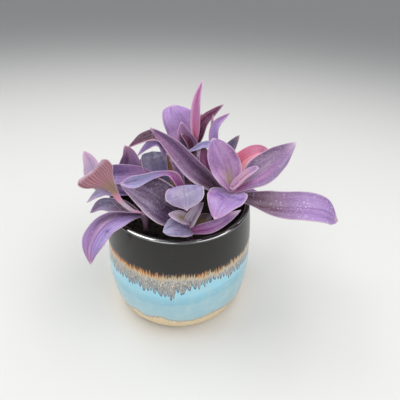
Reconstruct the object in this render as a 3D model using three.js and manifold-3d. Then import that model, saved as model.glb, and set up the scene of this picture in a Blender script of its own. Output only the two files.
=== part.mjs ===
// Potted purple tradescantia: a glazed stoneware tub, potting soil and eleven leafy stems.
// Units are millimetres and +Z is up. The origin is the centre of the pot's flat bottom.
import * as THREE from 'three';
import { mergeVertices } from 'three/addons/utils/BufferGeometryUtils.js';
import Module from 'manifold-3d';

const wasm = await Module();
wasm.setup();

// Driving dimensions of the pot
const FOOT_RADIUS = 52;
const BELLY_RADIUS = 65;
const BELLY_HEIGHT = 36;
const RIM_RADIUS = 60;
const POT_HEIGHT = 102;
const WALL = 4.5;
const FLOOR = 7;
const POT_SIDES = 40;
const BELLY_STEPS = 4;
const SHOULDER_STEPS = 3;
const LIP_STEPS = 4;

// Driving dimensions of the soil
const GAP = 0.3;
const SOIL_LEVEL = 88;
const SOIL_RELIEF = 1.4;
const LUMP_WIDTH = 6;
const CRUMB_WIDTH = 3.3;
const SOIL_SIDES = 24;
const SOIL_RINGS = 5;
const HOLE_SIDES = 8;

// Driving dimensions of the plant
const STEM_RADIUS = 2.2;
const NODE_RADIUS = 3;
const STEM_SIDES = 7;
const STEM_STEP = 7;
const LEAST_STEM_STEPS = 3;
const STEM_TAPER = 0.8;
const ROOT_DEPTH = 10;
const NODE_REACH = 4;
const BLADE_THICKNESS = 0.9;
const BLADE_STEP = 7;
const LEAST_BLADE_STEPS = 5;
const MOST_BLADE_STEPS = 8;
const BLADE_STRIPS = 4;
const TIP_HALF_WIDTH = 0.5;
const TIP_BLUNTNESS = 1.5;
const TROUGH_ROUNDING = 0.18;
const WAVE_HEIGHT = 0.05;
const WAVES = 1.5;
const WAVE_SHIFT = 1.3;

// Leaf outlines: pairs of place along the midrib and share of the greatest half width
const OUTLINES = {
  lance: [[0, 0.3], [0.12, 0.52], [0.38, 1], [0.65, 0.82], [0.86, 0.42], [1, 0.03]],
  scoop: [[0, 0.25], [0.12, 0.48], [0.38, 0.95], [0.65, 1], [0.86, 0.5], [1, 0.03]],
  oval: [[0, 0.32], [0.15, 0.72], [0.4, 1], [0.65, 0.9], [0.86, 0.56], [1, 0.04]],
  strap: [[0, 0.3], [0.15, 0.5], [0.4, 0.92], [0.65, 1], [0.84, 0.88], [0.94, 0.48], [1, 0.02]],
  heart: [[0, 0.46], [0.1, 0.75], [0.28, 1], [0.55, 0.9], [0.8, 0.53], [1, 0.03]],
  round: [[0, 0.32], [0.15, 0.72], [0.4, 1], [0.65, 0.97], [0.85, 0.74], [0.95, 0.42], [1, 0.1]],
  fan: [[0, 0.55], [0.15, 0.86], [0.38, 1], [0.6, 0.93], [0.78, 0.67], [0.9, 0.29], [0.96, 0.08], [1, 0.03]],
  paddle: [[0, 0.28], [0.2, 0.42], [0.45, 0.84], [0.7, 0.95], [0.88, 0.7], [1, 0.05]],
  young: [[0, 0.75], [0.3, 1], [0.7, 0.95], [0.9, 0.7], [1, 0.2]],
  sleeve: [
    [0, 0.5], [0.15, 0.95], [0.28, 0.95], [0.42, 0.43], [0.65, 0.65], [0.82, 1], [0.93, 0.68], [1, 0.04],
  ],
  flare: [[0, 0.12], [0.35, 0.15], [0.55, 0.23], [0.72, 0.47], [0.86, 0.93], [0.95, 1], [1, 0.78]],
};

// The ways that upper faces look, as directions
const TO_FRONT = [0, -0.9, 0.45];
const TO_FRONT_UP = [0, -0.6, 0.8];
const TO_SKY = [0, 0, 1];
const TO_SKY_BACK = [0, 0.3, 1];

// A leaf is listed as outline, greatest width, midrib points, the ways its upper face looks and its folds
// in degrees, the last two from base to tip. A stem's route starts just above the soil, over its root.
const STEMS = [
  {
    name: 'leafy_stem_front_right',
    colour: 0x9a72b0,
    route: [[30, -20, 92], [32, -23, 102], [36, -28, 115], [39, -32, 126], [39, -33, 133]],
    leaves: [
      [
        'oval', 23.5, [[39, -32, 128], [34.5, -27, 143], [30, -23, 152], [23.7, -16, 163]],
        [[-0.1, -0.9, 0.42]], [62, 15, 8],
      ],
      ['young', 8, [[39, -33, 131], [46, -37, 143], [54, -40, 152]], [[0, -0.5, 0.9]], [35, 30]],
      [
        'lance', 24, [[39, -32, 127], [54, -28, 137], [72, -18, 147], [89, -8, 157]],
        [[-0.2, -0.8, 0.6]], [55, 15, 10],
      ],
      [
        'heart', 29, [[38, -32, 126], [34.5, -41, 127.5], [29, -52, 129], [23.5, -61, 123.5]],
        [[-0.1, -0.3, 0.9]], [20, 10],
      ],
      [
        'strap', 30,
        [[36, -28, 114], [47, -28, 116], [70, -30, 112], [96, -31, 111], [115, -31, 108], [128, -31, 99]],
        [[0, -0.35, 0.93]], [55, 20, 5],
      ],
      [
        'lance', 19,
        [[37, -29, 119], [32, -26, 123.5], [11, -20, 139], [-6, -12.5, 155.5], [-21.5, -10, 168]],
        [[-0.2, -0.82, 0.5]], [55, 34, 20],
      ],
      ['lance', 18, [[32, -23, 103], [52, -10, 110], [76, -2, 103]], [TO_SKY], [50, 15]],
    ],
  },
  {
    name: 'leafy_stem_top',
    colour: 0xa9629a,
    route: [[6, 6, 92], [8, 9, 112], [11, 11, 132], [12, 12, 143]],
    leaves: [
      [
        'lance', 13.5, [[12, 12, 140], [11, 12, 166], [12, 13, 182], [17, 16, 196]],
        [[0.2, -1, 0.2]], [65, 45],
      ],
      [
        'round', 28, [[11, 12, 137], [3, 19, 155], [-3, 25, 166], [-6, 34, 171]],
        [TO_FRONT, [0, -0.4, 0.9]], [45, 10, 0],
      ],
      ['lance', 18, [[11, 11, 136], [4, 7, 154], [1, 8, 166]], [TO_FRONT], [40, 25]],
      ['lance', 14, [[11, 12, 138], [18, 15, 160], [26, 19, 168], [35, 22, 176]], [TO_FRONT_UP], [50, 40]],
      ['lance', 9, [[12, 12, 139], [15, 21, 156], [18, 25, 167]], [TO_FRONT_UP], [50, 30]],
      ['lance', 13, [[11, 11, 131], [7, 5, 149], [1, 4, 158]], [[0.3, -0.6, 0.8]], [40, 20]],
      ['lance', 20, [[8, 9, 111], [-6, 20, 123], [-24, 32, 121]], [TO_SKY_BACK], [50, 15]],
      ['lance', 20, [[9, 10, 118], [22, 20, 128], [42, 27, 124]], [TO_SKY], [50, 15]],
    ],
  },
  {
    name: 'leafy_stem_back_right',
    colour: 0xb0668c,
    route: [[29, -2, 92], [29, -3, 108], [30, -1, 125], [30, 3, 141]],
    leaves: [
      [
        'lance', 10, [[30, 3, 138], [27, 6, 154], [29, 9, 164], [39, 13, 172]],
        [[-0.2, -0.9, 0.4]], [50, 30],
      ],
      ['lance', 5, [[30, 3, 139], [26, 10, 162], [26, 12, 171]], [[-0.2, -0.9, 0.4]], [40, 30]],
      ['lance', 13, [[30, 1, 133], [41, 7, 143], [48, 10, 155]], [[-0.4, -0.6, 0.8]], [35, 20]],
      [
        'oval', 18, [[30, -1, 122], [42, -4, 129], [52, -2, 139], [62, 0, 144], [74, 4, 143]],
        [[-0.2, -0.8, 0.6]], [45, 20],
      ],
      [
        'lance', 7, [[30, 2, 138], [26, -3, 151], [18, -4, 152], [12, -4, 149], [5, -4, 146]],
        [TO_FRONT_UP], [30, 15],
      ],
      ['oval', 14, [[29, -2, 116], [25, -8, 129], [21, -8, 138], [18, -2, 151]], [TO_FRONT], [50, 20]],
      ['lance', 18, [[29, -2, 106], [46, 8, 116], [70, 14, 111]], [TO_SKY], [50, 15]],
    ],
  },
  {
    name: 'leafy_stem_front',
    colour: 0xa89fc8,
    route: [[8, -42, 92], [7, -43, 104], [5, -40, 118], [3, -34, 133]],
    leaves: [
      [
        'fan', 28.5, [[3, -34, 133], [3, -41, 132.5], [4, -47, 131.5], [5, -52.5, 124.5]],
        [[-0.1, -0.75, 0.5]], [-5, 12],
      ],
      ['lance', 13, [[7, -43, 103], [10, -45, 114], [17, -41, 124]], [[-0.3, -0.8, 0.6]], [55, 35]],
      ['oval', 10, [[7, -43, 108], [-1, -49, 117], [-8, -50, 120]], [TO_FRONT_UP], [30, 10]],
      ['oval', 17, [[8, -43, 101], [3, -49, 107], [-3, -52, 109.5], [-12, -54, 107]], [TO_FRONT_UP], [35, 5]],
      ['lance', 14, [[8, -42, 98], [17, -42, 107], [24, -38, 111]], [TO_FRONT_UP], [40, 20]],
      [
        'lance', 11, [[8, -43, 97], [13, -48, 103], [24, -50, 108], [35, -45, 112], [46, -37, 114]],
        [TO_FRONT_UP], [45, 30],
      ],
    ],
  },
  {
    name: 'leafy_stem_centre',
    colour: 0x6d4c74,
    route: [[2, -24, 92], [2, -25, 108], [1, -24, 124]],
    leaves: [
      [
        'sleeve', 10.5,
        [
          [1, -24, 120], [-3.5, -26, 134], [-6, -26, 138], [-10.5, -27, 140], [-18.5, -32, 141],
          [-31, -33, 136.5], [-42, -33, 134.5],
        ],
        [[0.78, -0.5, 0.3], [0.1, -0.7, 0.5], TO_FRONT], [48, 30],
      ],
      [
        'lance', 33, [[2, -25, 100], [-9, -34, 114], [-24, -30, 125], [-44, -26, 131]],
        [[0.1, -0.75, 0.65]], [45, 25, 10],
      ],
      ['lance', 8, [[1, -24, 118], [-1, -14, 134], [-6, -12, 143]], [TO_FRONT], [30, 20]],
      ['lance', 6, [[1, -24, 116], [-6, -11, 131], [-10, -8, 147]], [TO_FRONT], [30, 20]],
    ],
  },
  {
    name: 'leafy_stem_left',
    colour: 0xa882c4,
    route: [[-27, -29, 92], [-27, -30, 100], [-28, -31, 108]],
    leaves: [
      [
        'flare', 32,
        [
          [-28, -31, 105], [-38, -31, 109], [-45.5, -28, 117], [-50, -26, 125], [-58, -24, 135],
          [-64, -23, 142],
        ],
        [[0.15, 0.9, 0.35], [-0.2, 1, 0.05]], [80, 45, -7, -20],
      ],
      [
        'lance', 15, [[-28, -31, 103], [-41, -24, 105], [-54, -20, 106], [-63, -18, 105], [-73, -16, 97]],
        [TO_FRONT_UP], [50, 20],
      ],
      [
        'scoop', 18,
        [
          [-28, -31, 106], [-39, -35, 107], [-52, -41, 106], [-60, -46, 99.5], [-65, -52, 90],
          [-67.5, -54, 76.5],
        ],
        [[0, -0.9, 0.5], [-0.25, -1, 0.35]], [65, 20, 15],
      ],
      ['lance', 9, [[-28, -31, 104], [-38, -24, 104], [-56, -16, 111]], [TO_FRONT_UP], [40, 20]],
    ],
  },
  {
    name: 'leafy_stem_left_back',
    colour: 0xb49acb,
    route: [[-38, 2, 92], [-38, 2, 102], [-38, 3, 110]],
    leaves: [
      ['lance', 26, [[-38, 3, 107], [-40, 8, 126], [-41, 8, 138], [-44, 8, 146]], [TO_FRONT], [50, 25]],
      [
        'oval', 20, [[-38, 2, 103], [-55.5, 3, 106.5], [-68, 2, 118], [-72, 6, 130], [-77, 8, 141]],
        [[0, -0.85, 0.6]], [80, 15],
      ],
      [
        'lance', 11, [[-38, 2, 101], [-48, 5, 105], [-60, 6, 105], [-72, 8, 99], [-82, 8, 91]],
        [TO_FRONT_UP], [40, 15],
      ],
      ['lance', 16, [[-38, 3, 106], [-52, 16, 111], [-73, 24, 103]], [TO_SKY], [50, 15]],
    ],
  },
  {
    name: 'leafy_stem_back_left',
    colour: 0x6f6a92,
    route: [[-14, 4, 92], [-14, 4, 112], [-11, 6, 132], [-10, 8, 146]],
    leaves: [
      ['lance', 12, [[-10, 8, 143], [-18, 1, 156], [-27, 0, 155], [-40, 0, 148]], [TO_FRONT_UP], [40, 30]],
      [
        'lance', 9, [[-11, 6, 136], [-17, -2, 152], [-25, -2, 149], [-33, -2, 142]],
        [TO_FRONT_UP], [40, 30],
      ],
      [
        'oval', 25, [[-14, 4, 112], [-18, 0, 129], [-21, 3, 137], [-23, 14, 138]],
        [TO_FRONT, [0, -0.5, 0.9]], [40, 5],
      ],
      [
        'paddle', 18.5,
        [
          [-14, 4, 118], [-20, -4, 122], [-29.5, -6.5, 127], [-45, -9, 128], [-56.5, -11, 128],
          [-66, -10.5, 124.5],
        ],
        [[0, -0.75, 0.7]], [43, 18],
      ],
      ['lance', 16, [[-14, 4, 106], [-26, 16, 117], [-47, 23, 116]], [TO_SKY], [50, 15]],
    ],
  },
  {
    name: 'leafy_stem_rear',
    colour: 0x9a72b0,
    route: [[4, 36, 92], [4, 38, 105], [5, 40, 117]],
    leaves: [
      ['lance', 19, [[5, 39, 112], [14, 58, 116], [28, 82, 97]], [TO_SKY_BACK], [50, 15]],
      ['lance', 18, [[4, 38, 109], [-6, 56, 117], [-14, 82, 98]], [TO_SKY_BACK], [50, 15]],
      ['lance', 18, [[5, 40, 114], [1, 46, 137], [0, 56, 153]], [TO_FRONT], [50, 15]],
      ['young', 8, [[5, 40, 115], [9, 43, 126], [12, 47, 134]], [TO_FRONT], [50, 45]],
    ],
  },
  {
    name: 'leafy_stem_rear_right',
    colour: 0x8a639f,
    route: [[38, 26, 92], [41, 30, 105], [43, 33, 118]],
    leaves: [
      ['lance', 22, [[43, 33, 115], [57, 52, 116], [78, 78, 96]], [TO_SKY_BACK], [50, 15]],
      ['lance', 18, [[43, 33, 116], [40, 46, 125], [40, 66, 114]], [TO_SKY_BACK], [50, 15]],
      ['lance', 18, [[42, 32, 110], [64, 40, 107], [90, 46, 98]], [TO_SKY], [50, 15]],
      ['young', 7, [[43, 33, 115], [47, 36, 125], [50, 40, 132]], [TO_FRONT], [50, 45]],
    ],
  },
  {
    name: 'leafy_stem_rear_left',
    colour: 0x8f6aa5,
    route: [[-30, 30, 92], [-33, 33, 100], [-35, 36, 107]],
    leaves: [
      ['lance', 20, [[-34, 35, 103], [-44, 46, 106], [-64, 64, 88]], [TO_SKY_BACK], [40, 10]],
      ['lance', 19, [[-35, 36, 105], [-30, 52, 108], [-36, 74, 93]], [TO_SKY_BACK], [40, 10]],
      ['lance', 18, [[-34, 34, 102], [-50, 38, 106], [-72, 42, 94]], [TO_SKY], [35, 10]],
      ['lance', 12, [[-35, 36, 104], [-34, 39, 113], [-31, 44, 120]], [TO_FRONT], [50, 25]],
    ],
  },
];

// Solids and meshes

function solidOf(positions, triangles) {
  const vertProperties = new Float32Array(positions);
  const triVerts = new Uint32Array(triangles);
  return new wasm.Manifold(new wasm.Mesh({ numProp: 3, vertProperties, triVerts }));
}

function solidOfGeometry(geometry) {
  geometry.deleteAttribute('normal');
  geometry.deleteAttribute('uv');
  const merged = mergeVertices(geometry, 0.0001);
  return solidOf(merged.attributes.position.array, merged.index.array);
}

function meshOf(name, solid, material) {
  const { vertProperties, triVerts } = solid.getMesh();
  const geometry = new THREE.BufferGeometry();
  geometry.setAttribute('position', new THREE.BufferAttribute(new Float32Array(vertProperties), 3));
  geometry.setIndex(new THREE.BufferAttribute(new Uint32Array(triVerts), 1));
  geometry.computeVertexNormals();
  const mesh = new THREE.Mesh(geometry, material);
  mesh.name = name;
  return mesh;
}

// The largest outer body of a union: hollows that the union sealed are filled and loose scraps dropped
function largestBody(solid) {
  const bodies = solid.decompose();
  return bodies.reduce((best, body) => (body.volume() > best.volume() ? body : best));
}

// Rings of points, each with the same count, skinned into a closed solid with flat fan ends
function skinRings(rings) {
  const sides = rings[0].length;
  const positions = rings.flat().flatMap((point) => point.toArray());
  const triangles = [];
  for (let ring = 0; ring + 1 < rings.length; ring += 1) {
    for (let side = 0; side < sides; side += 1) {
      const next = (side + 1) % sides;
      const low = ring * sides;
      const high = low + sides;
      triangles.push(low + side, low + next, high + next);
      triangles.push(low + side, high + next, high + side);
    }
  }
  const last = (rings.length - 1) * sides;
  for (let side = 1; side + 1 < sides; side += 1) {
    triangles.push(0, side + 1, side);
    triangles.push(last, last + side, last + side + 1);
  }
  return solidOf(positions, triangles);
}

// Pot

function outerRadius(z) {
  if (z < BELLY_HEIGHT) {
    const down = (BELLY_HEIGHT - z) / BELLY_HEIGHT;
    return FOOT_RADIUS + (BELLY_RADIUS - FOOT_RADIUS) * Math.sqrt(1 - down * down);
  }
  const up = (z - BELLY_HEIGHT) / (POT_HEIGHT - BELLY_HEIGHT);
  return BELLY_RADIUS - (BELLY_RADIUS - RIM_RADIUS) * up * up;
}

function innerRadius(z) {
  return outerRadius(z) - WALL;
}

// Points of the wall from the floor's edge up to where the lip starts, for a radius rule
function wallPoints(radiusAt, bottom, top) {
  const points = [];
  for (let step = 0; step <= BELLY_STEPS; step += 1) {
    const angle = (Math.PI / 2) * (step / BELLY_STEPS);
    const z = bottom + (BELLY_HEIGHT - bottom) * (1 - Math.cos(angle));
    points.push(new THREE.Vector2(radiusAt(z), z));
  }
  for (let step = 1; step <= SHOULDER_STEPS; step += 1) {
    const z = BELLY_HEIGHT + ((top - BELLY_HEIGHT) * step) / SHOULDER_STEPS;
    points.push(new THREE.Vector2(radiusAt(z), z));
  }
  return points;
}

function revolve(profile, sides) {
  return solidOfGeometry(new THREE.LatheGeometry(profile, sides).rotateX(Math.PI / 2));
}

function potSolid() {
  const lipStart = POT_HEIGHT - WALL / 2;
  const outside = wallPoints(outerRadius, 0, lipStart);
  const inside = wallPoints(innerRadius, FLOOR, lipStart).reverse();
  const lipCentre = outerRadius(lipStart) - WALL / 2;
  const lip = [];
  for (let step = 1; step < LIP_STEPS; step += 1) {
    const angle = (Math.PI * step) / LIP_STEPS;
    const radius = lipCentre + (WALL / 2) * Math.cos(angle);
    lip.push(new THREE.Vector2(radius, lipStart + (WALL / 2) * Math.sin(angle)));
  }
  const profile = [new THREE.Vector2(0, 0), ...outside, ...lip, ...inside, new THREE.Vector2(0, FLOOR)];
  return revolve(profile, POT_SIDES);
}

// Soil

function soilHeight(x, y) {
  const lumps = Math.sin(x / LUMP_WIDTH) * Math.cos(y / LUMP_WIDTH);
  const crumbs = Math.sin((x - y) / CRUMB_WIDTH);
  return SOIL_LEVEL + (SOIL_RELIEF * (2 * lumps + crumbs)) / 3;
}

function ringPoint(radius, side, heightAt) {
  const angle = (2 * Math.PI * side) / SOIL_SIDES;
  const x = radius * Math.cos(angle);
  const y = radius * Math.sin(angle);
  return new THREE.Vector3(x, y, heightAt(x, y));
}

// The soil fills the pot just clear of its wall, with a plain hole for each stem's root
function soilSolid(roots) {
  const rings = [];
  const addRing = (radius, heightAt) => {
    rings.push(Array.from({ length: SOIL_SIDES }, (_, side) => ringPoint(radius, side, heightAt)));
  };
  const bottom = FLOOR + GAP;
  const facetSag = 1 - Math.cos(Math.PI / POT_SIDES);
  const soilRadius = (z) => innerRadius(z) * (1 - facetSag) - 2 * GAP;
  const edge = wallPoints(soilRadius, bottom, SOIL_LEVEL - 2 * SOIL_RELIEF);
  edge.forEach((point) => addRing(point.x, () => point.y));
  const topRadius = soilRadius(SOIL_LEVEL);
  for (let ring = SOIL_RINGS; ring >= 1; ring -= 1) {
    addRing((topRadius * ring) / SOIL_RINGS, soilHeight);
  }
  let soil = skinRings(rings);
  const holeRadius = (STEM_RADIUS + GAP) / Math.cos(Math.PI / HOLE_SIDES);
  roots.forEach(([x, y]) => {
    const hole = new THREE.CylinderGeometry(holeRadius, holeRadius, 2 * ROOT_DEPTH, HOLE_SIDES);
    hole.rotateX(Math.PI / 2).translate(x, y, SOIL_LEVEL - GAP);
    soil = soil.subtract(solidOfGeometry(hole));
  });
  return soil;
}

// Stems

function vectors(points) {
  return points.map(([x, y, z]) => new THREE.Vector3(x, y, z));
}

// A value that runs evenly through a list of stops from base (0) to tip (1)
function between(stops, place) {
  if (stops.length === 1) {
    return stops[0];
  }
  const spot = place * (stops.length - 1);
  const index = Math.min(Math.floor(spot), stops.length - 2);
  return stops[index] + (stops[index + 1] - stops[index]) * (spot - index);
}

// A tapering stem, straight in the soil and swollen where a leaf grows from it
function stemSolid({ route, leaves }) {
  const [x, y] = route[0];
  const joints = vectors(leaves.map((leaf) => leaf[2][0]));
  const curve = new THREE.CatmullRomCurve3(vectors(route), false, 'catmullrom', 0.5);
  const steps = Math.max(LEAST_STEM_STEPS, Math.round(curve.getLength() / STEM_STEP));
  const centres = [new THREE.Vector3(x, y, SOIL_LEVEL - ROOT_DEPTH), ...curve.getSpacedPoints(steps)];
  const last = centres.length - 1;
  const rings = centres.map((centre, index) => {
    const ahead = centres[Math.min(index + 1, last)];
    const behind = centres[Math.max(index - 1, 0)];
    const along = index < 2 ? new THREE.Vector3(0, 0, 1) : ahead.clone().sub(behind).normalize();
    const across = new THREE.Vector3(0, 1, 0).cross(along).normalize();
    const up = along.clone().cross(across);
    const swollen = index > 1 && joints.some((joint) => joint.distanceTo(centre) < NODE_REACH);
    const slim = index < 2 ? STEM_RADIUS : STEM_RADIUS * between([1, STEM_TAPER], index / last);
    const radius = swollen ? NODE_RADIUS : slim;
    return Array.from({ length: STEM_SIDES }, (_, side) => {
      const angle = (2 * Math.PI * side) / STEM_SIDES;
      const offset = across.clone().multiplyScalar(radius * Math.cos(angle));
      return centre.clone().add(offset).addScaledVector(up, radius * Math.sin(angle));
    });
  });
  return skinRings(rings);
}

// Leaves

function slopeBetween(outline, index) {
  const [start, low] = outline[index];
  const [end, high] = outline[index + 1];
  return (high - low) / (end - start);
}

// Half width share at a place along the midrib: a smooth curve through the outline's points
function outlineShare(outline, place) {
  const slopes = outline.map((_, index) => {
    const before = index > 0 ? slopeBetween(outline, index - 1) : null;
    const after = index + 1 < outline.length ? slopeBetween(outline, index) : null;
    if (before === null) {
      return after;
    }
    if (after === null) {
      return TIP_BLUNTNESS * before;
    }
    return before * after <= 0 ? 0 : (2 * before * after) / (before + after);
  });
  let index = 0;
  while (index + 2 < outline.length && outline[index + 1][0] <= place) {
    index += 1;
  }
  const [start, low] = outline[index];
  const [end, high] = outline[index + 1];
  const span = end - start;
  const t = (place - start) / span;
  const ease = t * t * (3 - 2 * t);
  const lift = t * (1 - t) * span * ((1 - t) * slopes[index] - t * slopes[index + 1]);
  return low + (high - low) * ease + lift;
}

// The blade's middle surface: rows from base to tip, each with points from margin to margin
function bladeGrid([outline, width, midrib, faces, folds]) {
  const curve = new THREE.CatmullRomCurve3(vectors(midrib), false, 'catmullrom', 0.5);
  const wanted = Math.round(curve.getLength() / BLADE_STEP);
  const steps = Math.min(MOST_BLADE_STEPS, Math.max(LEAST_BLADE_STEPS, wanted));
  const centres = curve.getSpacedPoints(steps);
  const looks = vectors(faces).map((face) => face.normalize());
  const lookAt = (place) => ['x', 'y', 'z'].map((axis) => between(looks.map((look) => look[axis]), place));
  const grid = [];
  for (let row = 0; row <= steps; row += 1) {
    const place = row / steps;
    const ahead = centres[Math.min(row + 1, steps)];
    const behind = centres[Math.max(row - 1, 0)];
    const along = ahead.clone().sub(behind).normalize();
    const side = along.clone().cross(new THREE.Vector3(...lookAt(place))).normalize();
    const normal = side.clone().cross(along);
    const share = outlineShare(OUTLINES[outline], place);
    const halfWidth = Math.max(TIP_HALF_WIDTH, (width / 2) * share);
    const fold = THREE.MathUtils.degToRad(between(folds, place));
    const line = [];
    for (let strip = 0; strip <= BLADE_STRIPS; strip += 1) {
      const across = (2 * strip) / BLADE_STRIPS - 1;
      const round = TROUGH_ROUNDING;
      const rise = (Math.hypot(across, round) - round) / (Math.hypot(1, round) - round);
      const phase = across > 0 ? WAVE_SHIFT : 0;
      const wave = Math.sin(2 * Math.PI * WAVES * place + phase) * Math.sin(Math.PI * place);
      const lift = halfWidth * rise * Math.sin(fold) + WAVE_HEIGHT * width * wave * across * across;
      const point = centres[row].clone().addScaledVector(side, halfWidth * across * Math.cos(fold));
      line.push(point.addScaledVector(normal, lift));
    }
    grid.push(line);
  }
  return grid;
}

function gridNormal(grid, row, strip) {
  const above = grid[Math.min(row + 1, grid.length - 1)][strip];
  const below = grid[Math.max(row - 1, 0)][strip];
  const right = grid[row][Math.min(strip + 1, BLADE_STRIPS)];
  const left = grid[row][Math.max(strip - 1, 0)];
  return right.clone().sub(left).cross(above.clone().sub(below)).normalize();
}

// Both faces of the blade are split into triangles alike, and a rim joins them
function bladeSolid(leaf) {
  const grid = bladeGrid(leaf);
  const columns = BLADE_STRIPS + 1;
  const rows = grid.length;
  const positions = [];
  [1, -1].forEach((face) => {
    grid.forEach((line, row) => {
      line.forEach((point, strip) => {
        const normal = gridNormal(grid, row, strip);
        positions.push(...point.clone().addScaledVector(normal, (face * BLADE_THICKNESS) / 2).toArray());
      });
    });
  });
  const under = rows * columns;
  const triangles = [];
  for (let row = 0; row + 1 < rows; row += 1) {
    for (let strip = 0; strip < BLADE_STRIPS; strip += 1) {
      const a = row * columns + strip;
      const b = a + 1;
      const c = a + columns + 1;
      const d = a + columns;
      triangles.push(a, b, c, a, c, d);
      triangles.push(under + a, under + c, under + b, under + a, under + d, under + c);
    }
  }
  // The rim's points in order: base, one margin, tip, other margin
  const rim = [];
  for (let strip = 0; strip < BLADE_STRIPS; strip += 1) {
    rim.push(strip);
  }
  for (let row = 0; row + 1 < rows; row += 1) {
    rim.push(row * columns + BLADE_STRIPS);
  }
  for (let strip = BLADE_STRIPS; strip > 0; strip -= 1) {
    rim.push((rows - 1) * columns + strip);
  }
  for (let row = rows - 1; row > 0; row -= 1) {
    rim.push(row * columns);
  }
  rim.forEach((here, index) => {
    const next = rim[(index + 1) % rim.length];
    triangles.push(here, under + here, under + next, here, under + next, next);
  });
  return solidOf(positions, triangles);
}

function leafyStemSolid(stem) {
  const joined = stem.leaves.reduce((whole, leaf) => whole.add(bladeSolid(leaf)), stemSolid(stem));
  return largestBody(joined);
}

// The assembly

const plant = new THREE.Group();
const potMaterial = new THREE.MeshStandardMaterial({ color: 0x6f8f9a, roughness: 0.3, metalness: 0 });
const soilMaterial = new THREE.MeshStandardMaterial({ color: 0x1f1a17, roughness: 1, metalness: 0 });
plant.add(meshOf('pot', potSolid(), potMaterial));
plant.add(meshOf('soil', soilSolid(STEMS.map((stem) => stem.route[0])), soilMaterial));
STEMS.forEach((stem) => {
  const material = new THREE.MeshStandardMaterial({ color: stem.colour, roughness: 0.55, metalness: 0 });
  plant.add(meshOf(stem.name, leafyStemSolid(stem), material));
});

export default plant;
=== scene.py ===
"""Looks of a potted purple tradescantia: glazed stoneware pot, potting soil and eleven leafy stems."""

import math
import random
from functools import reduce
from types import SimpleNamespace

import bpy
import numpy as np
from mathutils import Matrix, Vector, noise


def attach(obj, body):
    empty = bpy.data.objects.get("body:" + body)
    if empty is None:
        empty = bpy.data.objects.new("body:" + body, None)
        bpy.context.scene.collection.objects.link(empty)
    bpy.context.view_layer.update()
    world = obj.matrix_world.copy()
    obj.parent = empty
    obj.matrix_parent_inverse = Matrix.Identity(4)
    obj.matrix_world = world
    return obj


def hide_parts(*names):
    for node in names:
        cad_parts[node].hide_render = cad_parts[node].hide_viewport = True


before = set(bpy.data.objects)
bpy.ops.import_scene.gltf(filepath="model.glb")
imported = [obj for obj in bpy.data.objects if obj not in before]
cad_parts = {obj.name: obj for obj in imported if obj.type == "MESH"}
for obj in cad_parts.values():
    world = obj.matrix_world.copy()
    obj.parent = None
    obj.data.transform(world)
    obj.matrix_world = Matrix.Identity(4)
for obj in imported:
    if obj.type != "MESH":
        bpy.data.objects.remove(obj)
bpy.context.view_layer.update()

# Lengths are millimetres until a mesh is made
MM = 0.001

# The camera, as worked out from the ellipses of the pot's rim, glaze line and foot
CAMERA_BACK = 239.3
CAMERA_HEIGHT = 257.0
CAMERA_PITCH = 33.4
CAMERA_YAW = 4.2
CAMERA_ROLL = 2.3
CAMERA_LENS = 29.7
FILM_WIDTH = 36

# The studio, in metres. Each light has a name, a place, a size, a power and a colour, and looks at the plant
WARM_WHITE = (1.0, 0.99, 0.97)
COOL_WHITE = (0.98, 0.98, 1.0)
LIGHTS = [
    ("window_left", (-0.52, 0.2, 1.0), (0.9, 0.5), 6.8, WARM_WHITE),
    ("window_right", (0.48, 0.2, 1.0), (0.8, 0.5), 4.0, WARM_WHITE),
    ("fill_left", (-0.5, -1.0, 0.8), (0.8, 0.8), 4.6, COOL_WHITE),
    ("fill_right", (0.62, -0.42, 0.85), (0.8, 0.5), 3.6, WARM_WHITE),
]
LIGHT_TARGET = (0, 0, 0.1)
SKY_COLOUR = (0.93, 0.96, 1.0, 1)
SKY_STRENGTH = 0.34
FLOOR_REACH = 20.0

# The pot, the same as the model's
FOOT_RADIUS = 52
BELLY_RADIUS = 65
BELLY_HEIGHT = 36
RIM_RADIUS = 60
POT_HEIGHT = 102
WALL = 4.5
LIP_RISE = 1.4
FLOOR = 7
POT_SIDES = 192
BELLY_ROWS = 24
WALL_ROWS = 40
LIP_ROWS = 14
FOOT_RINGS = (0.001, 0.5, 0.97)
FLOOR_RINGS = (0.9, 0.5, 0.001)

# The soil
SOIL_LEVEL = 88
SOIL_RELIEF = 1.4
LUMP_WIDTH = 6
CRUMB_WIDTH = 3.3
SOIL_STEP = 1.1
SOIL_GAP = 0.05
SOIL_CENTRE = 0.2
SOIL_CRUMBS = 900
CRUMB_SIZES = (0.5, 0.6, 0.8, 1.0, 1.3)
CRUMB_HEIGHT = 0.9
CRUMB_REACH = 0.97
CRUMB_LIFT = 0.3
CRUMB_STRETCH = (0.6, 1.2)
RELIEF_NOISE = (0.9, 2.1, 4)
CRUMB_SEED = 3

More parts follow.
